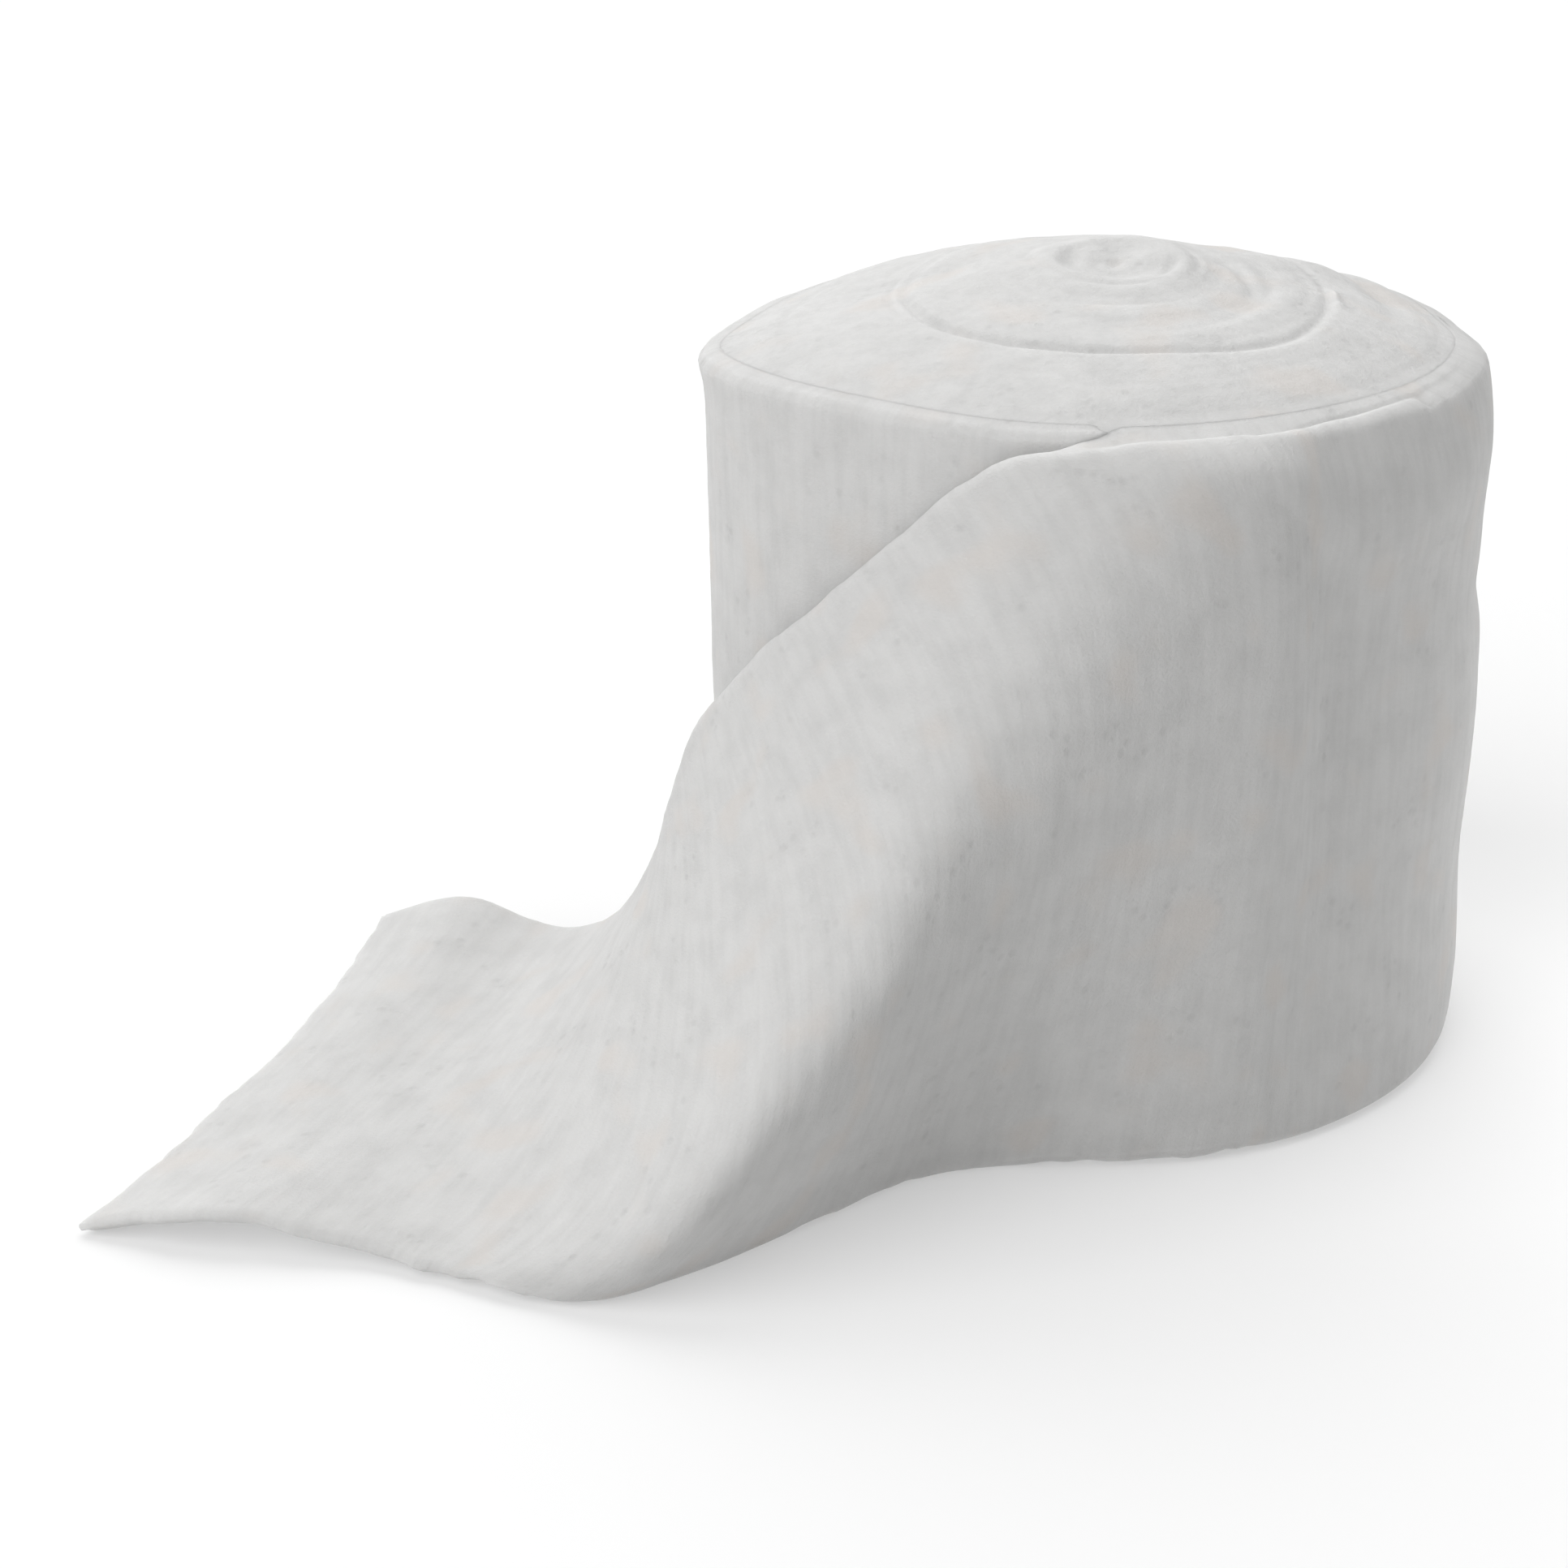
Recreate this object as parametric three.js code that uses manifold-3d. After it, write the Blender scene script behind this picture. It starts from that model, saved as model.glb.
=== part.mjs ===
// A roll of cast padding standing on one end. One soft padding strip is wound on itself with no core.
// Its upper end has worked up into a low cone of turns, and its last length has peeled off the wall,
// twists through a quarter turn and lies on the surface in front and to the left.
// Millimetres, +Z up. The origin is the middle of the roll's foot, on the surface it stands on.

import * as THREE from "three";
import { mergeVertices } from "three/addons/utils/BufferGeometryUtils.js";
import Module from "manifold-3d";

// The strip, as it is cut: its width, its thickness, and how thin its soft edges are.
const STRIP_WIDTH = 102;
const STRIP_THICKNESS = 2.5;
const EDGE_THICKNESS = 1.4;
const EDGE_TAPER = 0.07; // share of the width, or of the loose length, that thins to the edge

// The wound form: its outer radius, the angle where the last turn leaves it, and its facets.
const ROLL_RADIUS = 54.6;
const PEEL_ANGLE = -94;
const ROLL_COLUMNS = 84;
const STEPS_ALONG = 44;
const STEPS_ACROSS = 22;

// How the upper end differs from an even cone: the middle sits to the right, the small turns tip
// towards the front, and the rim sinks a little at the back.
const CORE_SHIFT = 3.5;
const CORE_TIP = 0.17;
const BACK_SINK = 1.2;

// The roll's profile, from the middle of the foot, up the wall and over the cone to the sunk core.
// out is a share of the wall's radius, and up is the height. Each pair of close rows on the cone is
// the edge of a turn that stands above the next one out.
const PROFILE = [
  { out: 0.972, up: 0 },
  { out: 0.993, up: 0.9 },
  { out: 1.0, up: 3.2 },
  { out: 1.0, up: 24 },
  { out: 1.0, up: 46 },
  { out: 1.0, up: 60 },
  { out: 1.0, up: 68 },
  { out: 1.0, up: 76 },
  { out: 1.0, up: 83 },
  { out: 1.0, up: 89 },
  { out: 1.0, up: 94 },
  { out: 0.998, up: 99.6 },
  { out: 0.982, up: 101.5 },
  { out: 0.945, up: 102.6 },
  { out: 0.86, up: 104.2 },
  { out: 0.74, up: 106.2 },
  { out: 0.62, up: 108.0 },
  { out: 0.565, up: 108.2 },
  { out: 0.54, up: 109.4 },
  { out: 0.47, up: 109.9 },
  { out: 0.4, up: 110.1 },
  { out: 0.375, up: 110.9 },
  { out: 0.3, up: 111.5 },
  { out: 0.25, up: 111.7 },
  { out: 0.228, up: 112.7 },
  { out: 0.165, up: 113.2 },
  { out: 0.125, up: 112.2 },
  { out: 0.08, up: 109.4 },
];
const CORE_FLOOR = 108.4;

// Shares of the wall's radius between which the spiral of the last turn fades into plain rings, and
// the place in the turn whose radius those rings take. From SWELL_BACK on, as a share of the turn,
// the wall swells back out to where the turn began, under the strip as it leaves.
const LAST_TURN = 0.96;
const SECOND_TURN = 0.87;
const EVEN_TURN = 0.5;
const SWELL_BACK = 0.9;

// Where the wall stands out or falls in: a soft swelling at an angle and a height.
// wide is its spread in degrees, tall its spread in height, both to where it has faded to a third.
const SWELLINGS = [
  { angle: -136, height: 80, out: -4.1, wide: 27, tall: 200 }, // pulled flat beside the loose end
  { angle: -60, height: 89, out: 2.4, wide: 38, tall: 9 }, // the shoulder that runs into the ridge
  { angle: -60, height: 104, out: -2.4, wide: 50, tall: 7 },
  { angle: 178, height: 60, out: 1.9, wide: 38, tall: 200 },
  { angle: 178, height: 101, out: 0.9, wide: 12, tall: 4 }, // the flared corner at the left
  { angle: 2, height: 93, out: 0.6, wide: 40, tall: 8 },
  { angle: -4, height: 68, out: -0.7, wide: 22, tall: 4 }, // the nick in the right side
  { angle: -6, height: 48, out: 0.9, wide: 40, tall: 20 },
  { angle: 95, height: 55, out: -0.8, wide: 45, tall: 60 },
];

// The loose end, section by section from the roll to the cut end. near is on the lower, front edge
// of the strip and far on its upper, back edge. The section bends towards ridge, and pull says how
// closely it follows it.
const SECTIONS = [
  { near: [38.5, -32.5, 1.5], ridge: [40, -34, 90], far: [38, -32, 98], pull: 0.6 },
  { near: [27.3, -43.7, 1], ridge: [28.9, -45.6, 92], far: [26.8, -42.8, 99.5], pull: 0.7 },
  { near: [12, -52, 0.6], ridge: [20, -60, 94], far: [12, -51, 101], pull: 0.74 },
  { near: [-3.7, -53.2, 0.6], ridge: [8, -67, 89], far: [-3.7, -52.6, 101], pull: 0.82 },
  { near: [-16.5, -52.8, 0.6], ridge: [-1, -73, 79], far: [-16.5, -51.6, 98.6], pull: 0.85 },
  { near: [-28.3, -56, 0.6], ridge: [-11, -78, 70], far: [-26.5, -48, 90.2], pull: 0.87 },
  { near: [-38.3, -63.4, 0.6], ridge: [-21, -84, 61], far: [-34, -43.6, 80.2], pull: 0.87 },
  { near: [-48.5, -71, 0.6], ridge: [-28, -90, 47], far: [-42, -38, 70.6], pull: 0.86 },
  { near: [-59, -78, 0.6], ridge: [-36, -96, 38], far: [-49, -30, 61.6], pull: 0.83 },
  { near: [-70.4, -83.8, 0.8], ridge: [-46, -99, 25], far: [-55.5, -20.6, 53], pull: 0.8 },
  { near: [-82, -82.4, 1.3], ridge: [-59, -88, 12], far: [-60.5, -15, 41], pull: 0.73 },
  { near: [-94, -77.4, 2], ridge: [-77, -60, 3.5], far: [-64, -11, 28.5], pull: 0.66 },
  { near: [-105, -73.4, 3.6], ridge: [-90, -43, 1.6], far: [-70.5, -6, 16.5], pull: 0.6 },
  { near: [-117, -71, 5.6], ridge: [-99, -36, 1.4], far: [-80, 3, 10.5], pull: 0.6 },
  { near: [-128, -68.6, 4.2], ridge: [-108, -30, 1.4], far: [-93, 9.6, 12], pull: 0.6 },
  { near: [-138.4, -66, 1.3], ridge: [-116, -23, 3.4], far: [-105, 12.6, 6.5], pull: 0.6 },
];

const wasm = await Module();
wasm.setup();

const radians = THREE.MathUtils.degToRad;

function bell(distance, spread) {
  return Math.exp(-((distance / spread) ** 2));
}

// The wall's radius: one strip thickness less after each full turn, with the swellings added.
// The cone's rings, from the second turn inwards, are plain circles instead.
function wallRadius(degrees, height, share) {
  const place = (degrees - PEEL_ANGLE) / 360;
  const turned = THREE.MathUtils.lerp(
    EVEN_TURN,
    place - THREE.MathUtils.smoothstep(place, SWELL_BACK, 1),
    THREE.MathUtils.smoothstep(share, SECOND_TURN, LAST_TURN),
  );
  let radius = ROLL_RADIUS - STRIP_THICKNESS * turned;
  for (const { angle, height: middle, out, wide, tall } of SWELLINGS) {
    const away = ((((degrees - angle) % 360) + 540) % 360) - 180;
    radius += out * bell(away, wide) * bell(height - middle, tall);
  }
  return radius;
}

// A point of the roll's surface, at an angle, for a row of the profile.
function rollPoint(degrees, out, up) {
  const angle = radians(degrees);
  const reach = out * wallRadius(degrees, up, out);
  const inward = up < STRIP_WIDTH - 4 ? 0 : 1 - out;
  const y = reach * Math.sin(angle);
  const sunk = up < STRIP_WIDTH / 2 ? 0 : (up / STRIP_WIDTH) * BACK_SINK * (y / ROLL_RADIUS + 1) * 0.5;
  return new THREE.Vector3(
    reach * Math.cos(angle) + CORE_SHIFT * inward,
    y,
    up - sunk + CORE_TIP * y * inward * inward,
  );
}

// A closed surface from rings of points, with one point in the middle of each end.
function closeRings(rings, first, last) {
  const points = [...rings.flat(), first, last];
  const columns = rings[0].length;
  const faces = [];
  const at = (row, column) => row * columns + (column % columns);
  for (let column = 0; column < columns; column++) {
    faces.push(points.length - 2, at(0, column + 1), at(0, column));
    for (let row = 0; row + 1 < rings.length; row++) {
      faces.push(at(row, column), at(row, column + 1), at(row + 1, column + 1));
      faces.push(at(row, column), at(row + 1, column + 1), at(row + 1, column));
    }
    const end = rings.length - 1;
    faces.push(points.length - 1, at(end, column), at(end, column + 1));
  }
  return surface(points, faces);
}

// A closed sheet from two grids of points, one for each face, with a band round the edge.
function closeSheet(front, back) {
  const rows = front.length;
  const columns = front[0].length;
  const points = [...front.flat(), ...back.flat()];
  const behind = rows * columns;
  const faces = [];
  for (let row = 0; row + 1 < rows; row++) {
    for (let column = 0; column + 1 < columns; column++) {
      const a = row * columns + column;
      const [b, c, d] = [a + 1, a + 1 + columns, a + columns];
      faces.push(a, b, d, b, c, d);
      faces.push(behind + a, behind + d, behind + b, behind + b, behind + d, behind + c);
    }
  }
  const rim = [];
  for (let column = 0; column < columns; column++) rim.push(column);
  for (let row = 1; row < rows; row++) rim.push(row * columns + columns - 1);
  for (let column = columns - 2; column >= 0; column--) rim.push((rows - 1) * columns + column);
  for (let row = rows - 2; row > 0; row--) rim.push(row * columns);
  rim.forEach((a, place) => {
    const b = rim[(place + 1) % rim.length];
    faces.push(a, behind + a, b, b, behind + a, behind + b);
  });
  return surface(points, faces);
}

function surface(points, faces) {
  const geometry = new THREE.BufferGeometry().setFromPoints(points);
  geometry.setIndex(faces);
  return geometry;
}

// The wound form. The rings start at the peel angle and end just short of it one strip thickness in.
function woundForm() {
  const rings = PROFILE.map(({ out, up }) => {
    const ring = [];
    for (let column = 0; column <= ROLL_COLUMNS; column++) {
      ring.push(rollPoint(PEEL_ANGLE + (359.6 * column) / ROLL_COLUMNS, out, up));
    }
    return ring;
  });
  const foot = new THREE.Vector3(0, 0, 0);
  const core = new THREE.Vector3(CORE_SHIFT, 0, CORE_FLOOR);
  return closeRings(rings, foot, core);
}

// The middle surface of the loose end: smooth lines run through the sections' near edge, ridge and
// far edge, and each step along them is one bent section.
function looseEndGrid() {
  const line = (name) => new THREE.CatmullRomCurve3(SECTIONS.map((row) => new THREE.Vector3(...row[name])));
  const [nearLine, ridgeLine, farLine] = ["near", "ridge", "far"].map(line);
  const pullLine = new THREE.SplineCurve(SECTIONS.map((row, place) => new THREE.Vector2(place, row.pull)));
  const grid = [];
  for (let step = 0; step <= STEPS_ALONG; step++) {
    const along = step / STEPS_ALONG;
    const [near, ridge, far] = [nearLine, ridgeLine, farLine].map((curve) => curve.getPoint(along));
    const pull = pullLine.getPoint(along).y;
    const section = new THREE.CubicBezierCurve3(
      near,
      near.clone().lerp(ridge, pull),
      far.clone().lerp(ridge, pull),
      far,
    );
    grid.push(section.getSpacedPoints(STEPS_ACROSS));
  }
  return grid;
}

// The strip is full thickness inside and thins towards its two edges and its cut end.
function thicknessAt(along, across) {
  const inside = Math.min(across, 1 - across, 1 - along) / EDGE_TAPER;
  const share = THREE.MathUtils.smoothstep(inside, 0, 1);
  return THREE.MathUtils.lerp(EDGE_THICKNESS, STRIP_THICKNESS, share);
}

// The loose end as a sheet: its middle surface moved half a thickness to each side, and pressed
// flat where it would reach below the surface it lies on.
function looseEnd() {
  const grid = looseEndGrid();
  const last = STEPS_ALONG;
  const faces = [1, -1].map((side) =>
    grid.map((row, i) =>
      row.map((point, j) => {
        const along = grid[Math.min(i + 1, last)][j].clone().sub(grid[Math.max(i - 1, 0)][j]);
        const across = row[Math.min(j + 1, STEPS_ACROSS)].clone().sub(row[Math.max(j - 1, 0)]);
        const outward = along.cross(across).normalize().negate();
        const half = thicknessAt(i / last, j / STEPS_ACROSS) / 2;
        const moved = point.clone().addScaledVector(outward, side * half);
        return moved.setZ(Math.max(moved.z, side > 0 ? EDGE_THICKNESS / 2 : 0));
      }),
    ),
  );
  return closeSheet(...faces);
}

// Joins closed surfaces into one.
function join(...surfaces) {
  const solids = surfaces.map((geometry) => {
    const merged = mergeVertices(geometry, 1e-4);
    const vertProperties = new Float32Array(merged.attributes.position.array);
    const triVerts = new Uint32Array(merged.index.array);
    return new wasm.Manifold(new wasm.Mesh({ numProp: 3, vertProperties, triVerts }));
  });
  const mesh = solids.reduce((all, solid) => all.add(solid)).getMesh();
  const joined = new THREE.BufferGeometry();
  joined.setAttribute("position", new THREE.BufferAttribute(mesh.vertProperties, 3));
  joined.setIndex(new THREE.BufferAttribute(mesh.triVerts, 1));
  joined.computeVertexNormals();
  return joined;
}

const padding = new THREE.MeshStandardMaterial({ color: 0xe4e3e1, roughness: 1, metalness: 0 });

const castPadding = new THREE.Group();
const paddingRoll = new THREE.Mesh(join(woundForm(), looseEnd()), padding);
paddingRoll.name = "padding_roll";
castPadding.add(paddingRoll);

export default castPadding;
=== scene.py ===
# A roll of cast padding standing on end, its loose end peeled off and laid down in front.
# Shapes are worked out in millimetres and put into meshes in metres.
import math

import bpy
import numpy as np
from mathutils import Matrix, Vector


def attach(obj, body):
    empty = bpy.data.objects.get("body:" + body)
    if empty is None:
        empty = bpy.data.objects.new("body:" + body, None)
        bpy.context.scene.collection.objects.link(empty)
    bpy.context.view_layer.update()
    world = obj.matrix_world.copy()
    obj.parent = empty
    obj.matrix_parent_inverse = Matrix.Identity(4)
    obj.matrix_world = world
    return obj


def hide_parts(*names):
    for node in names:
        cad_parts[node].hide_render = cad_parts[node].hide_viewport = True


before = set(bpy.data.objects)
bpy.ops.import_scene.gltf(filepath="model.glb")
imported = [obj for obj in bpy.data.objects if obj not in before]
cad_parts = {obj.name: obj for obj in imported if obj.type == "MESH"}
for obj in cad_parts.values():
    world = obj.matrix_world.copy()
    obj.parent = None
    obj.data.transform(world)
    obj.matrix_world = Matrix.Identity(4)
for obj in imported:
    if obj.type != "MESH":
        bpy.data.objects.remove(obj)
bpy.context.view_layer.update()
mm = 0.001
print("frame loaded")


# The camera stands low in front, turned a little about its own axis.
view = {
    "distance": 440,
    "elevation": 22.9,
    "aim": (-44.6, 0, 34.9),
    "roll": -1.2,
    "lens": 68.3,
    "sensor": 36,
    "nearest": 10,  # nothing closer than this is drawn
}


# eye = aim + distance * (0, -cos e, sin e); the axes are then turned by roll about the line of sight
def placeCamera():
    elevation = math.radians(view["elevation"])
    aim = Vector(view["aim"]) * mm
    back = Vector((0, -math.cos(elevation), math.sin(elevation)))
    side = Vector((1, 0, 0))
    up = back.cross(side)
    turn = Matrix.Rotation(math.radians(view["roll"]), 3, back)
    side, up = turn @ side, turn @ up
    data = bpy.data.cameras.new("camera")
    data.lens = view["lens"]
    data.sensor_width = view["sensor"]
    data.clip_start = view["nearest"] * mm
    camera = bpy.data.objects.new("camera", data)
    axes = Matrix((side, up, back)).transposed().to_4x4()
    camera.matrix_world = Matrix.Translation(aim + back * view["distance"] * mm) @ axes
    bpy.context.collection.objects.link(camera)
    bpy.context.scene.camera = camera


placeCamera()
print("camera placed")


# The strip and the roll, as in the part's source, in millimetres and degrees.
padding = {
    "width": 102,
    "thickness": 2.5,
    "edgeHalf": 0.5,  # half the thickness at the very edge
    "edgeRound": 2.2,  # how far in from an edge the strip reaches its full thickness
}
roll = {
    "radius": 54.6,
    "wallTop": 101,  # the height at which the wall's radius is taken for its rim
    "peel": -94,  # the angle at which the loose end leaves the wall
    "coreShift": 3.5,  # how far the core lies to the right of the middle
    "coreTip": 0.17,  # how much the core's back stands higher than its front
    "backSink": 1.2,  # how much lower the top is at the back
    # where the wall stands out or falls in: angle, height, how far, spread in degrees, spread in height
    "swellings": (
        (-136, 80, -4.1, 27, 200),
        (-60, 89, 2.4, 38, 9),
        (-60, 104, -2.4, 50, 7),
        (178, 60, 2.2, 38, 200),
        (178, 101, 1.1, 12, 4),
        (2, 93, 0.3, 40, 8),
        (-4, 68, -0.7, 22, 4),
        (-6, 50, 1.3, 40, 18),
        (-14, 12, 1.0, 34, 14),
        (95, 55, -0.8, 45, 60),
    ),
    # where the rim stands higher or lower: angle, rise, spread in degrees
    "rimBumps": (
        (168, -1.2, 20),
        (122, 0.9, 20),
        (92, 0.4, 16),
        (55, -0.7, 15),
        (24, 0.6, 9),
        (4, -0.5, 9),
    ),
    "bumpFade": (12, 36),  # the radii between which these bumps fade out inwards
}


# exp(-(distance / spread)^2)
def bell(distance, spread):
    return np.exp(-((distance / spread) ** 2))


# 3x^2 - 2x^3 between the two ends
def smooth(x, start, end):
    x = np.clip((x - start) / (end - start), 0, 1)
    return x * x * (3 - 2 * x)


# Value noise, -1 to 1: a seeded lattice of random numbers with cells of the given sizes, joined by
# smooth blends.
def cloud(u, v, cellU, cellV, seed):
    count = 257
    lattice = np.random.default_rng(seed).uniform(-1, 1, (count, count))
    x, y = u / cellU, v / cellV
    i, j = np.floor(x).astype(int), np.floor(y).astype(int)
    f, g = smooth(x - i, 0, 1), smooth(y - j, 0, 1)
    i0, i1 = i % count, (i + 1) % count
    j0, j1 = j % count, (j + 1) % count
    low = lattice[i0, j0] * (1 - f) + lattice[i1, j0] * f
    high = lattice[i0, j1] * (1 - f) + lattice[i1, j1] * f
    return low * (1 - g) + high * g


# degrees from one angle to another, -180 to 180
def turnAway(degrees, angle):
    return (degrees - angle + 180) % 360 - 180


# the sum of each swelling's two bells
def swelling(degrees, height):
    total = 0 * (degrees + height)
    for angle, middle, out, wide, tall in roll["swellings"]:
        total = total + out * bell(turnAway(degrees, angle), wide) * bell(height - middle, tall)
    return total


# radius = R - thickness * turns wound + swelling
def wallRadius(degrees, height):
    turned = (degrees - roll["peel"]) / 360
    return roll["radius"] - padding["thickness"] * turned + swelling(degrees, height)


# the closed ring of the turns inside the last one: R - 1.5 thicknesses + swelling
def ringRadius(degrees, height):
    return roll["radius"] - 1.5 * padding["thickness"] + swelling(degrees, height)


# Centripetal Catmull-Rom: a cubic through the rows of points, whose slopes come from the square
# roots of the gaps between them. place runs from 0 to 1 over the rows.
def throughPoints(points, place):
    points = np.asarray(points, float)
    padded = np.vstack([2 * points[0] - points[1], points, 2 * points[-1] - points[-2]])
    last = len(points) - 1
    row = np.minimum((place * last).astype(int), last - 1)
    t = (place * last - row)[:, None]
    p0, p1, p2, p3 = (padded[row + k] for k in range(4))
    pairs = ((p0, p1), (p1, p2), (p2, p3))
    gap = [np.sqrt(np.linalg.norm(b - a, axis=1, keepdims=True)) for a, b in pairs]
    start = ((p1 - p0) / gap[0] - (p2 - p0) / (gap[0] + gap[1]) + (p2 - p1) / gap[1]) * gap[1]
    end = ((p2 - p1) / gap[1] - (p3 - p1) / (gap[1] + gap[2]) + (p3 - p2) / gap[2]) * gap[1]
    return (
        p1
        + start * t
        + (3 * (p2 - p1) - 2 * start - end) * t**2
        + (2 * (p1 - p2) + start + end) * t**3
    )


# Puts points and the faces between them into one mesh. Points and uv are given in millimetres, and
# each quad or triangle is a row of point numbers.
def makePiece(name, points, quads, uv=None, triangles=()):
    mesh = bpy.data.meshes.new(name)
    corners = np.concatenate([quads.ravel(), np.asarray(triangles, int).ravel()])
    sizes = np.concatenate([np.full(len(quads), 4), np.full(len(triangles), 3)])
    starts = np.concatenate([[0], np.cumsum(sizes)[:-1]])
    mesh.vertices.add(len(points))
    mesh.vertices.foreach_set("co", (points * mm).astype(np.float32).ravel())
    mesh.loops.add(len(corners))
    mesh.loops.foreach_set("vertex_index", corners.astype(np.int32))
    mesh.polygons.add(len(sizes))
    mesh.polygons.foreach_set("loop_start", starts.astype(np.int32))
    mesh.polygons.foreach_set("use_smooth", np.ones(len(sizes), bool))
    if uv is not None:
        layer = mesh.uv_layers.new(name="cloth")
        layer.data.foreach_set("uv", (uv[corners] * mm).astype(np.float32).ravel())
    mesh.update(calc_edges=True)
    mesh.validate()
    piece = bpy.data.objects.new(name, mesh)
    bpy.context.collection.objects.link(piece)
    return piece


# The body of the roll: every turn but the last, from the middle of the foot, up behind the last turn
# and over the crown into the core.
body = {
    "columns": 420,
    "footRows": 60,
    "wallRows": 7,
    "crownRows": 158,
    # the shares of the ring's radius that the foot, the wall and the crown have
    "footShare": (0.02, 0.99),
    "wallShare": 0.996,
    "crownShare": (0.999, 0.02),
    "wallFoot": 1.2,  # how high the wall starts
    "riseFrom": 60,  # above this height the top's rise comes in
    "crownFrom": 95,  # above this height a row counts as crown
    "rimHeight": 101.5,
    "underRim": 0.1,  # how far its border lies below the last turn's top
    "groove": 0.03,  # depth between one turn's edge and the next on the crown
    "footGroove": 0.25,
    "grooveWide": 0.24,  # half the groove's width, as a share of a turn
    "soft": 0.26,  # height of the crown's broad unevenness
    "fine": 0.07,  # and of its fine unevenness
    "noiseShift": 900,  # keeps the roll off the lattice's own corner
    "profileSteps": 2000,
    # the crown's profile: share of the ring's radius and height
    "crown": (
        (1.08, 100.9),
        (1.04, 101.5),
        (1.0, 102.1),
        (0.965, 102.65),
        (0.93, 103.3),
        (0.9, 104.05),
        (0.84, 105.25),
        (0.777, 106.25),
        (0.71, 107.25),
        (0.651, 108.0),
        (0.6, 108.55),
        (0.56, 109.15),
        (0.52, 109.65),
        (0.47, 110.0),
        (0.42, 110.35),
        (0.38, 110.85),
        (0.315, 111.45),
        (0.27, 111.85),
        (0.24, 112.4),
        (0.2, 113.0),
        (0.17, 113.2),
        (0.14, 112.9),
        (0.1, 112.3),
        (0.06, 112.05),
        (0.02, 112.05),
    ),
    # soft creases between turns of the crown: middle angle, spread in degrees, radius, how much the
    # radius grows in 90 degrees, how far it bulges at the bulge angle, depth, half width
    "creases": (
        (-95, 112, 29.2, 0.9, 3.0, 0.62, 0.95),
        (-150, 34, 28.6, 0.9, 0, 0.35, 0.75),
        (178, 24, 30.4, 0.8, 0, 0.35, 0.6),
        (-100, 62, 14.8, 0.2, 0.6, 0.18, 0.8),
        (-5, 30, 17.4, -11, 0, 0.5, 1.3),
        (165, 28, 12.4, -7, 0, 0.4, 1.0),
        (0, 40, 11.1, 0, 0, 0.38, 0.9),
        (165, 36, 6.9, 0, 0, 0.6, 1.3),
        (-20, 28, 7.3, 0, 0, 0.7, 1.0),
        (-98, 55, 8.8, 0, 0, 0.5, 1.0),
        (-8, 7, 31.2, -5, 0, -0.6, 0.8),
        (172, 22, 44, 2, 0, 0.25, 0.9),
        (14, 24, 40.5, 0, 0, 0.75, 2.6),
        (-6, 24, 27.6, 0, 0, 0.4, 1.9),
        (-30, 34, 22.5, -4, 0, 0.22, 1.2),
    ),
    "bulgeAngle": -52,
    "bulgeSpread": 24,
    # soft lumps and hollows on the crown: place, height, half width
    "lumps": (
        (-0.2, 3.6, 0.7, 2.6),
        (7.2, 1.8, 0.75, 2.9),
        (2.8, 0.6, -0.4, 1.3),
        (16.4, -14.2, -0.5, 3.4),
        (32.3, -8.5, 0.35, 1.1),
    ),
}


# the height of the crown's profile at a share of the ring's radius
def crownProfile(share):
    curve = throughPoints(body["crown"], np.linspace(0, 1, body["profileSteps"]))
    return np.interp(share, curve[::-1, 0], curve[::-1, 1])


# how much the top rises: -backSink * (y / R + 1) / 2, and each bump's bell, which fades inwards
def topRise(degrees, radius):
    y = radius * np.sin(np.radians(degrees))
    total = -roll["backSink"] * (y / roll["radius"] + 1) / 2
    for angle, rise, wide in roll["rimBumps"]:
        total = total + rise * bell(turnAway(degrees, angle), wide) * smooth(radius, *roll["bumpFade"])
    return total


# the crown's height where the swellings are those of the rim: its profile and its rise
def crownHeight(degrees, radius):
    return crownProfile(radius / ringRadius(degrees, roll["wallTop"])) + topRise(degrees, radius)


# the sum of the creases, each -depth * bell(angle) * bell(radius - its own radius), and of the lumps
def crownRelief(degrees, radius, x, y):
    total = 0 * x
    for angle, spread, middle, drift, bulge, depth, wide in body["creases"]:
        away = turnAway(degrees, angle)
        swell = bulge * bell(turnAway(degrees, body["bulgeAngle"]), body["bulgeSpread"])
        inside = radius - middle - drift * away / 90 - swell
        total = total - depth * bell(away, spread) * bell(inside, wide)
    for placeX, placeY, rise, wide in body["lumps"]:
        total = total + rise * bell(np.hypot(x - placeX, y - placeY), wide)
    return total


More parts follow.
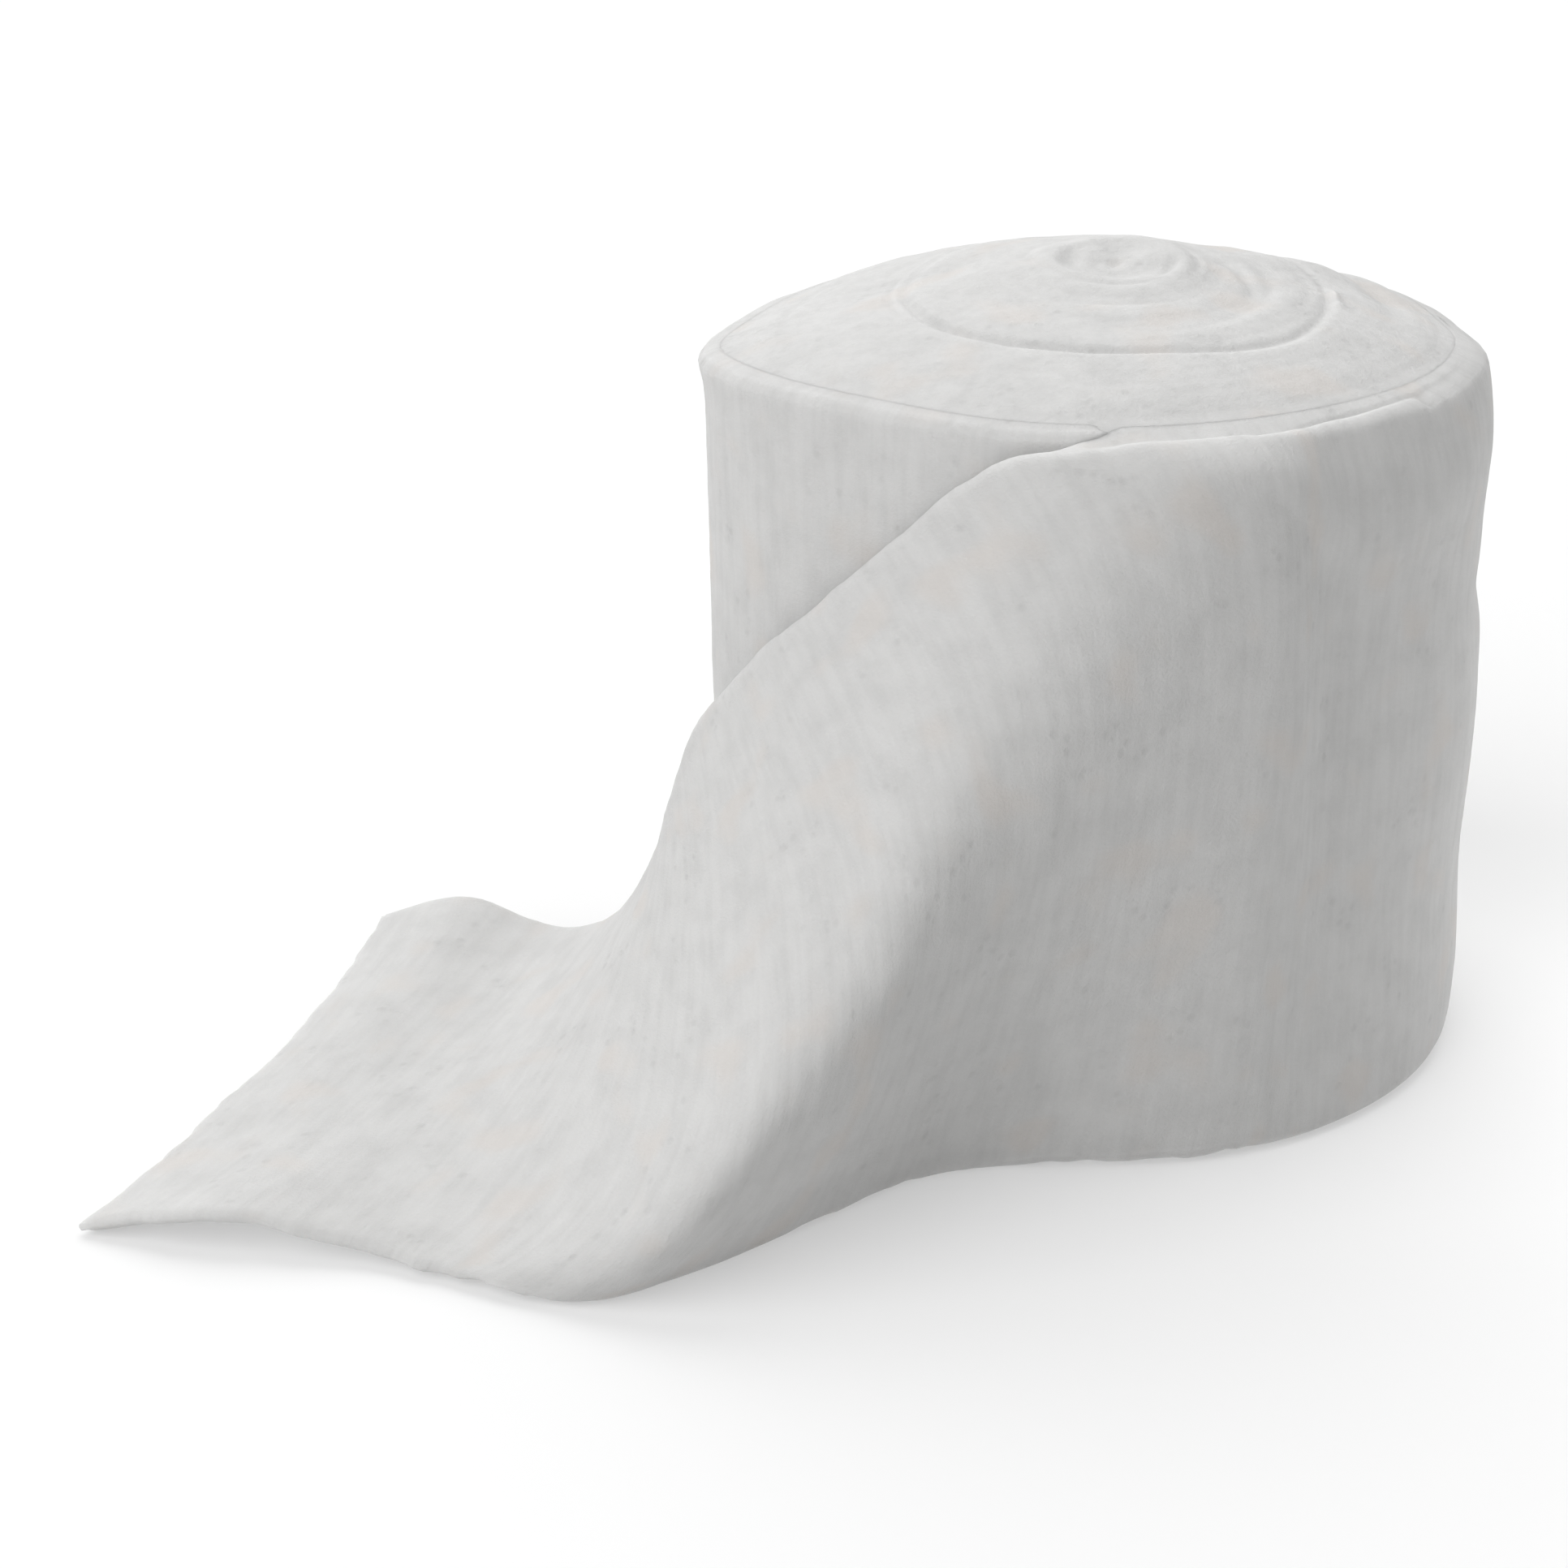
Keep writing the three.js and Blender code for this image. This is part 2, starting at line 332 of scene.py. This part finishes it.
# Rows are profile points, columns are angles: radius = share * ring, height from the profile, with
# the crown's relief and a faint groove where a whole number of turns has been wound in from the wall.
def makeBody():
    # the last column stops just short of the first, which it joins
    degrees = (roll["peel"] + np.linspace(0, 359.9, body["columns"] + 1))[None, :]
    angle = np.radians(degrees)
    footShares = np.linspace(*body["footShare"], body["footRows"])
    wallHeights = np.linspace(body["wallFoot"], roll["wallTop"], body["wallRows"])
    crownShares = np.linspace(*body["crownShare"], body["crownRows"])
    foot = np.column_stack([footShares, 0 * footShares])
    wall = np.column_stack([np.full(body["wallRows"], body["wallShare"]), wallHeights])
    crown = np.column_stack([crownShares, crownProfile(crownShares)])
    profile = np.vstack([foot, wall, crown])
    share, height = profile[:, :1], profile[:, 1:]

    # near the rim the swellings are those of the rim's height, further in those of the crown's own
    above = np.maximum(height - body["rimHeight"], 0)
    outer = ringRadius(degrees, height - above * (1 - smooth(1 - share, 0.06, 0.3)))
    radius = share * outer
    turns = (outer - radius) / padding["thickness"] - (degrees - roll["peel"]) / 360
    groove = bell(np.abs(turns - np.round(turns)), body["grooveWide"])

    inward = np.where(height > body["crownFrom"], 1 - share, 0)
    x = radius * np.cos(angle) + roll["coreShift"] * inward
    y = radius * np.sin(angle)
    onCrown = (height > body["crownFrom"]) * smooth(1 - share, 0.04, 0.1)
    u, v = x + body["noiseShift"], y + body["noiseShift"]
    lift = (
        body["soft"] * cloud(u, v, 13, 9, 12)
        + body["fine"] * cloud(u, v, 3.1, 2.7, 13)
        - body["groove"] * groove * (1 + cloud(u, v, 15, 15, 11))
    )
    under = body["underRim"] * smooth(share, 0.968, 0.998)
    risen = (topRise(degrees, radius) - under) * smooth(height, body["riseFrom"], roll["wallTop"])
    relief = crownRelief(degrees, radius, x, y) * smooth(height, 100, body["rimHeight"])
    top = height + risen + roll["coreTip"] * y * inward**2 + lift * onCrown + relief
    lower = np.where(height <= 0, body["footGroove"] * groove, height)
    z = np.where(height > body["riseFrom"], top, lower)
    points = np.stack([x, y, z], axis=-1)
    rows, across = points.shape[:2]
    number = np.arange(rows * across).reshape(rows, across)
    right = np.roll(number, -1, axis=1)
    quads = np.stack([number[:-1], right[:-1], right[1:], number[1:]], axis=-1).reshape(-1, 4)
    flat = points.reshape(-1, 3)
    ends = np.array([points[0].mean(axis=0), points[-1].mean(axis=0)])
    bottom = np.column_stack([np.full(across, len(flat)), right[0], number[0]])
    top = np.column_stack([np.full(across, len(flat) + 1), number[-1], right[-1]])
    return makePiece("woundTurns", np.vstack([flat, ends]), quads, triangles=np.vstack([bottom, top]))


# The last turn and the loose end, one strip.
strip = {
    "turnColumns": 230,
    "looseColumns": 150,
    "across": 104,
    "leadAngle": 34,  # degrees before the peel where the sections start
    "tuckAngle": 7,  # degrees by which the turn's inner end runs on under the leaving strip
    "tuckDepth": 1.2,  # and how far it sinks there
    "lowEdge": 0.5,  # the height of the lower edge's middle surface
    "offFloor": 0.35,  # the least height of the strip's outer face
    "rimRound": 1.5,  # how far below the rim the wall starts to round over
    # where it rounds over more: angle, how much, spread in degrees
    "rimSofter": (8, 2.2, 42),
    "roundIn": 0.75,  # how far in that rounding comes, as a share of how far down it starts
    # where the last turn's edge stands up before the crown: angle, rise, spread in degrees
    "lip": (-60, 0.3, 24),
    # the nick in the top edge: angle, depth, spread in degrees
    "nick": (-41, 0.65, 1.7),
    "topReach": 1.9,  # how far the turn's top reaches in over the body
    "topBlend": 1.2,  # over what distance from the wall's face it comes up to the crown
    "overCrown": 0.03,  # how far it lies above the crown
    # the crease in that top: angle, spread in degrees, distance from the face, depth, half width
    "topCrease": (-60, 20, 0.8, 0.5, 0.33),
    "rimWander": 0.14,  # how far the turn's top edge wanders up and down
    "edgeWander": 0.7,  # how far the loose end's edges wander
    "edgeReach": 5,  # how far in from an edge the wandering is felt
    "cutWander": 0.9,  # the same at the cut
    "cutReach": 9,
    "freeOver": 20,  # over what length past the join the strip stops being wall
    "letGo": (-2, 9),  # the lengths past the peel between which the body lets go of its inner face
    "rimSteps": 12,
    "bulge": 0.9,  # how much the band round its edges bulges
    "soft": 0.22,  # height of the broad unevenness
    "streak": 0.05,  # height of the streaks that run across the strip
    "fine": 0.035,  # height of the finest unevenness
    # the loose end's sections: lower front edge, ridge, upper back edge, how closely it keeps to the
    # ridge
    "sections": (
        ((12, -52, 0.6), (20, -60, 94), (12, -52, 101.6), 0.74),
        ((-3.7, -53.2, 0.6), (8, -67, 89), (-3.7, -52.8, 101.5), 0.82),
        ((-16.5, -52.8, 0.6), (-1, -73, 79), (-16.5, -49.5, 98.2), 0.85),
        ((-28.3, -56, 0.6), (-11, -78, 70), (-27.1, -43, 88.6), 0.87),
        ((-38.3, -63.4, 0.6), (-21, -84, 61), (-36.8, -35.2, 77.6), 0.87),
        ((-48.5, -71, 0.6), (-28, -90, 47), (-45.6, -27.8, 67.4), 0.86),
        ((-59, -78, 0.6), (-36, -96, 38), (-51.2, -20.5, 58.6), 0.83),
        ((-70.4, -83.8, 0.8), (-46, -99, 25), (-56, -14.8, 51.2), 0.8),
        ((-82, -82.4, 1.3), (-59, -88, 12), (-59.8, -12.5, 40.2), 0.73),
        ((-94, -77.4, 2), (-77, -60, 3.5), (-63, -11, 28.5), 0.66),
        ((-105, -73.4, 3.6), (-90, -43, 1.6), (-69.6, -6, 16.5), 0.6),
        ((-117, -71, 5.6), (-99, -36, 1.4), (-80, 3, 10.5), 0.6),
        ((-128, -68.6, 4.2), (-108, -30, 1.4), (-94.5, 9.6, 12.6), 0.6),
        ((-138.4, -66, 1.3), (-116, -23, 2.3), (-107, 13, 8.3), 0.6),
    ),
}


# how deep the wall's rounding is below the rim: rimRound + its bell
def rimRound(degrees):
    angle, more, wide = strip["rimSofter"]
    return strip["rimRound"] + more * bell(turnAway(degrees, angle), wide)


# The height of the last turn's top edge: the crown's own at that radius, and the lip.
def topEdge(degrees):
    radius = wallRadius(degrees, roll["wallTop"]) - strip["roundIn"] * rimRound(degrees)
    angle, rise, wide = strip["lip"]
    lip = rise * bell(turnAway(degrees, angle), wide)
    return crownHeight(degrees, radius) + lip


# how far the turn's inner end is sunk, so many degrees along the strip from that end
def tuckedIn(wound):
    return strip["tuckDepth"] * (1 - smooth(wound, strip["tuckAngle"] - 4, strip["tuckAngle"] + 2))


# A point of the strip's middle surface on the wall, at an angle and a height.
def onWall(degrees, height):
    radius = wallRadius(degrees, height) - padding["thickness"] / 2
    angle = np.radians(degrees)
    return np.stack([radius * np.cos(angle), radius * np.sin(angle), height + 0 * radius], axis=-1)


# The strip's middle surface: a turn of the wall, then Bezier sections between the loose end's edges.
# Each row is one place along the strip, each column one place across it.
def stripMiddle():
    across = np.linspace(0, 1, strip["across"])
    low = strip["lowEdge"]
    turnLength = 2 * math.pi * roll["radius"]
    joinAngle = roll["peel"] + strip["leadAngle"]
    start = roll["peel"] + 360 + strip["tuckAngle"]
    degrees = np.linspace(start, joinAngle, strip["turnColumns"], endpoint=False)[:, None]
    walked = (start - degrees) / 360 * turnLength
    nickAngle, nickDepth, nickWide = strip["nick"]
    nick = nickDepth * bell(turnAway(degrees, nickAngle), nickWide)
    fade = 1 - smooth(walked, turnLength * 0.9, turnLength * 0.97)
    sway = strip["rimWander"] * cloud(walked, 0 * walked, 7, 1, 21) * fade
    top = topEdge(degrees) - nick - tuckedIn(start - degrees) + sway
    height = low + (top - low) * across[None, :]
    turn = onWall(degrees + 0 * height, height)

    # two rows on the wall lead into the loose end's sections; a pull of 2/3 makes them straight
    rows = []
    for angle in (joinAngle + 12, joinAngle):
        foot, head = (onWall(np.float64(angle), np.float64(z)) for z in (low, topEdge(angle)))
        rows.append((foot, (foot + head) / 2, head, 2 / 3))
    rows += strip["sections"]
    first = 1 / (len(rows) - 1)
    along = first + (1 - first) * np.linspace(0, 1, strip["looseColumns"])
    near, ridge, far = (throughPoints([row[k] for row in rows], along)[:, None, :] for k in range(3))
    pull = throughPoints([[k, row[3]] for k, row in enumerate(rows)], along)[:, None, 1:]
    t = across[None, :, None]
    loose = (
        (1 - t) ** 3 * near
        + 3 * (1 - t) ** 2 * t * (near + pull * (ridge - near))
        + 3 * (1 - t) * t**2 * (far + pull * (ridge - far))
        + t**3 * far
    )

    # the wall's swellings go on past the join and fade out over the first rows
    place = (along / first)[:, None]
    angle = joinAngle - strip["leadAngle"] / 2 * (place - 1) + 0 * across[None, :]
    top = topEdge(angle)
    straight = onWall(angle, low) * (1 - t) + onWall(angle, top) * t
    curved = onWall(angle, low + (top - low) * across[None, :])
    carried = (curved - straight) * (1 - smooth(place, 1.5, 4))[..., None]
    return np.vstack([turn, loose + carried])


# Cumulative length of a grid's lines, down its rows (axis 0) or across them (axis 1).
def lengthAlong(grid, axis):
    step = np.linalg.norm(np.diff(grid, axis=axis), axis=2)
    start = np.zeros_like(step[:1] if axis == 0 else step[:, :1])
    return np.concatenate([start, np.cumsum(step, axis=axis)], axis=axis)


# The outward direction of a grid: the slope along the rows crossed with the slope across them.
def outwardOf(grid):
    normal = np.cross(np.gradient(grid, axis=1), np.gradient(grid, axis=0))
    return normal / np.maximum(np.linalg.norm(normal, axis=2, keepdims=True), 1e-9)


# The strip's faces lie off its middle surface by half = edgeHalf + (thickness / 2 - edgeHalf) *
# sqrt(1 - (1 - d / edgeRound)^2), at a distance d from the nearest edge or cut.
def makeStrip():
    middle = stripMiddle()
    rows, columns = middle.shape[:2]
    run = lengthAlong(middle, 0).mean(axis=1, keepdims=True) + np.zeros((1, columns))
    width = lengthAlong(middle, 1)
    toEdge = np.minimum(width, width[:, -1:] - width)
    toCut = run[-1:] - run
    outward = outwardOf(middle)

    # edges that wander: points near an edge move across the strip, those near the cut along it
    alongWay = np.gradient(middle, axis=0)
    alongWay /= np.linalg.norm(alongWay, axis=2, keepdims=True)
    acrossWay = np.cross(alongWay, outward)
    joinRun = run[strip["turnColumns"], 0]
    free = smooth(run, joinRun, joinRun + strip["freeOver"])
    side = np.sign(width - padding["width"] / 2)
    wander = cloud(run, width, 9, 200, 31) + 0.5 * cloud(run, width, 2.6, 200, 32)
    sway = strip["edgeWander"] * wander * free * bell(toEdge, strip["edgeReach"]) * side
    middle = middle + acrossWay * sway[..., None]
    wander = cloud(width, run, 11, 400, 33) + 0.35 * cloud(width, run, 2.4, 400, 34)
    fray = strip["cutWander"] * wander * bell(toCut, strip["cutReach"])
    middle = middle + alongWay * fray[..., None]

    # broad softness and fine streaks, less where the strip stands on its lower edge
    soft = strip["soft"] * (cloud(run, width, 17, 24, 41) + 0.5 * cloud(run, width, 6, 9, 42))
    streaks = strip["streak"] * cloud(run, width, 1.9, 22, 43)
    fine = strip["fine"] * cloud(run, width, 1.5, 1.6, 44)
    relief = (soft + streaks + fine) * smooth(width, 0, 6)

    # half the thickness, rounded towards the edges; on the wall the outer face rounds over at the rim
    fullness = np.sqrt(1 - (1 - np.clip(np.minimum(toEdge, toCut) / padding["edgeRound"], 0, 1)) ** 2)
    thick = padding["thickness"] / 2
    half = padding["edgeHalf"] + (thick - padding["edgeHalf"]) * fullness
    rim = middle[:, -1:]
    rimAngle = np.degrees(np.arctan2(rim[..., 1], rim[..., 0]))
    rounded = rimRound(rimAngle)
    wallFullness = np.sqrt(1 - (1 - np.clip(toEdge / rounded, 0, 1)) ** 2)
    outer = half * free + (thick - strip["roundIn"] * rounded * (1 - wallFullness)) * (1 - free)
    front = middle + outward * (outer + relief)[..., None]

    # on the wall the inner face reaches level into the body, up to the peel, and past it the strip
    # thins to its own thickness
    needed = np.hypot(rim[..., 0], rim[..., 1]) - ringRadius(rimAngle, rim[..., 2]) + strip["topReach"]
    fromPeel = np.abs(turnAway(rimAngle[strip["turnColumns"] :, 0], roll["peel"]))
    peelRun = run[strip["turnColumns"] + np.argmin(fromPeel), 0]
    early, late = strip["letGo"]
    held = 1 - smooth(run, peelRun + early, peelRun + late)
    level = rim * (1, 1, 0) / np.hypot(rim[..., 0], rim[..., 1])[..., None]
    inner = half - relief * free
    back = middle - outward * (inner * (1 - held))[..., None] - level * (needed * held)[..., None]
    back[..., 2] = np.maximum(back[..., 2], 0.0)
    front[..., 2] = np.maximum(front[..., 2], strip["offFloor"])

    # front face, back face, and between their borders a band of a few steps with a rounded middle;
    # on the wall the band comes up to the crown's own height, less a crease inside the last turn
    number = np.arange(rows * columns).reshape(rows, columns)
    cells = [number[:-1, :-1], number[1:, :-1], number[1:, 1:], number[:-1, 1:]]
    frontQuads = np.stack(cells[::-1], axis=-1).reshape(-1, 4)
    backQuads = np.stack(cells, axis=-1).reshape(-1, 4) + rows * columns
    border = np.concatenate([number[0, :-1], number[:-1, -1], number[-1, :0:-1], number[:0:-1, 0]])
    frontFlat, backFlat = front.reshape(-1, 3), back.reshape(-1, 3)
    uv = np.stack([run, width], axis=-1).reshape(-1, 2)
    upper = (width > padding["width"] / 2)[..., None]
    aside = np.where(upper, middle - np.roll(middle, 1, axis=1), middle - np.roll(middle, -1, axis=1))
    aside[-1] = middle[-1] - middle[-2]
    aside /= np.maximum(np.linalg.norm(aside, axis=2, keepdims=True), 1e-9)
    aside = aside.reshape(-1, 3)[border]
    onRim = (held * (number % columns == columns - 1)).ravel()[border]
    creaseAngle, creaseSpread, creasePlace, creaseDepth, creaseWide = strip["topCrease"]
    tucked = tuckedIn(np.degrees(run.ravel()[border] / roll["radius"]))
    bands = [border]
    extra = []
    bandUv = []
    for step in range(1, strip["rimSteps"] + 1):
        share = step / strip["rimSteps"]
        between = frontFlat[border] * (1 - share) + backFlat[border] * share
        fromFace = np.linalg.norm(between - frontFlat[border], axis=1)
        between = between + aside * (strip["bulge"] * share * (1 - share))
        angle = np.degrees(np.arctan2(between[:, 1], between[:, 0]))
        crown = crownHeight(angle, np.hypot(between[:, 0], between[:, 1]))
        crown += strip["overCrown"] - body["underRim"] * smooth(share, 0.6, 1) - tucked
        crease = bell(turnAway(angle, creaseAngle), creaseSpread)
        crease = crease * bell(fromFace - creasePlace, creaseWide)
        rise = smooth(fromFace, 0, strip["topBlend"]) * onRim
        between[:, 2] += (crown - between[:, 2]) * rise - creaseDepth * crease * onRim
        between[:, 2] = np.maximum(between[:, 2], 0)
        if step == strip["rimSteps"]:
            backFlat[border] = between
            continue
        extra.append(between)
        bandUv.append(uv[border] + np.column_stack([0 * fromFace, fromFace]))
        bands.append(np.arange(len(border)) + 2 * rows * columns + (step - 1) * len(border))
    bands.append(border + rows * columns)
    rimQuads = []
    for one, two in zip(bands, bands[1:]):
        rimQuads.append(np.stack([np.roll(one, -1), one, two, np.roll(two, -1)], axis=-1))
    points = np.vstack([frontFlat, backFlat, *extra])
    uv = np.vstack([uv, uv, *bandUv])
    quads = np.vstack([frontQuads, backQuads, *rimQuads])
    piece = makePiece("looseStrip", points, quads, uv=uv)
    length, cut = float(run[-1, 0]), float(width[-1, -1])
    print("strip is", round(length), "mm long and", round(cut), "mm wide at its cut")
    return piece, length


woundTurns = makeBody()
print("wound turns made")
looseStrip, stripLength = makeStrip()
print("strip made")


# One socket in shader maths: each operator adds a Math node and gives its output back.
class Wire:
    def __init__(self, sheet, socket):
        self.sheet = sheet
        self.socket = socket

    def math(self, operation, *values):
        return self.sheet.node("ShaderNodeMath", {"operation": operation}, dict(enumerate(values)))

    def __add__(self, other):
        return self.math("ADD", self, other)

    def __sub__(self, other):
        return self.math("SUBTRACT", self, other)

    def __rsub__(self, other):
        return self.math("SUBTRACT", other, self)

    def __mul__(self, other):
        return self.math("MULTIPLY", self, other)

    __radd__ = __add__
    __rmul__ = __mul__


# A material, with one method that adds any node to it and three that add the usual ones.
class Finish:
    def __init__(self, name):
        self.material = bpy.data.materials.new(name)
        self.material.use_nodes = True
        self.tree = self.material.node_tree
        self.tree.nodes.clear()

    def node(self, kind, settings=None, values=None, output=0):
        made = self.tree.nodes.new(kind)
        for key, value in (settings or {}).items():
            setattr(made, key, value)
        for key, value in (values or {}).items():
            if isinstance(value, Wire):
                self.tree.links.new(value.socket, made.inputs[key])
            else:
                made.inputs[key].default_value = value
        return Wire(self, made.outputs[output]) if made.outputs else None

    # noise of a size in metres, 0 to 1
    def noise(self, where, size, detail=2.0, rough=0.5):
        values = {"Vector": where, "Scale": 1 / size, "Detail": detail, "Roughness": rough}
        return self.node("ShaderNodeTexNoise", {}, values)

    # a ramp from 0 at low to 1 at high
    def ramp(self, value, low, high):
        values = {"Value": value, "From Min": low, "From Max": high}
        return self.node("ShaderNodeMapRange", {"interpolation_type": "SMOOTHSTEP"}, values)

    # one colour into another, through the colour sockets that the node has at 6 and 7, and out at 2
    def mix(self, factor, first, second):
        values = {"Factor": factor, 6: first, 7: second}
        return self.node("ShaderNodeMix", {"data_type": "RGBA"}, values, output=2)


# The felt, with its lengths in metres.
felt = {
    "pale": (0.55, 0.548, 0.543, 1),
    "grey": (0.452, 0.451, 0.447, 1),
    "warm": (0.55, 0.517, 0.49, 1),
    "streakSize": 0.0017,
    "streakScale": (1, 0.12, 1),  # draws the streaks out across the strip
    "blotchSize": 0.006,
    "patchSize": 0.011,
    "fibreSize": 0.0005,
    "pitSpacing": 0.0026,
    "pittedSize": 0.012,
    # how much each greys the felt, and how much the patches warm it
    "blotchShade": 0.3,
    "streakShade": 0.25,
    "pitShade": 0.35,
    "fibreShade": 0.3,
    "patchWarmth": 0.5,
    # how much each adds to the height, or takes from it
    "streakHeight": 0.5,
    "fibreHeight": 0.55,
    "blotchHeight": 0.6,
    "pitDepth": 0.35,
    "scatter": 0.5,
    "scatterDepth": 0.003,
    "bump": 0.5,
    "bumpDepth": 0.0005,
}


# colour = pale felt, greyer in soft blotches, streaks and pits, a little warmer in wide patches;
# height = streaks + fibres + blotches - pits, where pits lie near a cell's point and only in places
def feltFinish(name, stretched):
    finish = Finish(name)
    place = finish.node("ShaderNodeTexCoord", output="UV" if stretched else "Object")
    along = place
    if stretched:
        along = finish.node("ShaderNodeMapping", {}, {"Vector": place, "Scale": felt["streakScale"]})
    streak = finish.noise(along, felt["streakSize"], detail=3)
    blotch = finish.noise(place, felt["blotchSize"], detail=3)
    wide = finish.noise(place, felt["patchSize"], detail=1)
    fibre = finish.noise(place, felt["fibreSize"], detail=3, rough=0.6)
    values = {"Vector": place, "Scale": 1 / felt["pitSpacing"]}
    cell = finish.node("ShaderNodeTexVoronoi", {"feature": "F1"}, values)
    pitted = finish.noise(place, felt["pittedSize"])
    pit = (1 - finish.ramp(cell, 0.08, 0.34)) * finish.ramp(pitted, 0.46, 0.62)
    shade = (
        finish.ramp(blotch, 0.35, 0.7) * felt["blotchShade"]
        + finish.ramp(streak, 0.35, 0.7) * felt["streakShade"]
        + pit * felt["pitShade"]
        + (fibre - 0.5) * felt["fibreShade"]
    )
    colour = finish.mix(shade, felt["pale"], felt["grey"])
    warmth = finish.ramp(wide, 0.55, 0.72) * felt["patchWarmth"]
    colour = finish.mix(warmth, colour, felt["warm"])
    height = (
        streak * felt["streakHeight"]
        + fibre * felt["fibreHeight"]
        + blotch * felt["blotchHeight"]
        - pit * felt["pitDepth"]
    )
    bump = finish.node(
        "ShaderNodeBump", {}, {"Strength": felt["bump"], "Distance": felt["bumpDepth"], "Height": height}
    )
    shader = finish.node(
        "ShaderNodeBsdfPrincipled",
        {},
        {
            "Base Color": colour,
            "Roughness": 1.0,
            "Specular IOR Level": 0.1,
            "Subsurface Weight": felt["scatter"],
            "Subsurface Radius": (1, 1, 1),
            "Subsurface Scale": felt["scatterDepth"],
            "Normal": bump,
        },
    )
    finish.node("ShaderNodeOutputMaterial", {}, {"Surface": shader})
    return finish.material


stripFelt = feltFinish("stripFelt", True)
turnFelt = feltFinish("turnFelt", False)
looseStrip.data.materials.append(stripFelt)
woundTurns.data.materials.append(turnFelt)
for piece in (woundTurns, looseStrip):
    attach(piece, "root")
    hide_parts("padding_roll")
print("felt finishes set")


# A bright even floor, wide soft lights round the object and a small low one beside it.
studio = {
    "floor": (0.48, 0.48, 0.48, 1),
    "floorGlow": 0.385,
    "floorSize": 60,  # in metres
    "floorDrop": 0.05,  # how far it lies below the roll's foot
    "sky": 1.0,  # seen behind the floor's far end, and adding no light
    "softness": 60,  # the angle that each wide light fills
    # the wide lights: where from, strength
    "lights": (
        ((-0.6, -0.5, 0.62), 2.6),
        ((0, 0.6, 0.8), 2.2),
        ((0.6, 0, 0.8), 0.85),
    ),
    # the low light, right of the roll: where, how wide, strength
    "lowLight": ((125, -25, 30), 80, 0.06),
}


def makeStudio():
    size = studio["floorSize"] / 2
    corners = [(-size, -size, 0), (size, -size, 0), (size, size, 0), (-size, size, 0)]
    mesh = bpy.data.meshes.new("floor")
    mesh.from_pydata(corners, [], [(0, 1, 2, 3)])
    floor = bpy.data.objects.new("floor", mesh)
    floor.location.z = -studio["floorDrop"] * mm
    bpy.context.collection.objects.link(floor)
    finish = Finish("floorPaper")
    shader = finish.node(
        "ShaderNodeBsdfPrincipled",
        {},
        {
            "Base Color": studio["floor"],
            "Roughness": 0.9,
            "Specular IOR Level": 0.1,
            "Emission Color": (1, 1, 1, 1),
            "Emission Strength": studio["floorGlow"],
        },
    )
    finish.node("ShaderNodeOutputMaterial", {}, {"Surface": shader})
    mesh.materials.append(finish.material)

    world = bpy.data.worlds.new("sky")
    bpy.context.scene.world = world
    world.use_nodes = True
    world.node_tree.nodes["Background"].inputs["Color"].default_value = (1, 1, 1, 1)
    world.node_tree.nodes["Background"].inputs["Strength"].default_value = studio["sky"]
    world.cycles_visibility.diffuse = False

    for way, strength in studio["lights"]:
        data = bpy.data.lights.new("wideLight", "SUN")
        data.energy = strength
        data.angle = math.radians(studio["softness"])
        light = bpy.data.objects.new("wideLight", data)
        light.rotation_euler = Vector(way).to_track_quat("Z", "Y").to_euler()
        bpy.context.collection.objects.link(light)

    where, width, strength = studio["lowLight"]
    data = bpy.data.lights.new("lowLight", "POINT")
    data.shadow_soft_size = width / 2 * mm
    data.energy = strength
    light = bpy.data.objects.new("lowLight", data)
    light.location = Vector(where) * mm
    light.visible_camera = False
    bpy.context.collection.objects.link(light)


makeStudio()
bpy.context.scene.view_settings.view_transform = "Standard"
print("studio lit")
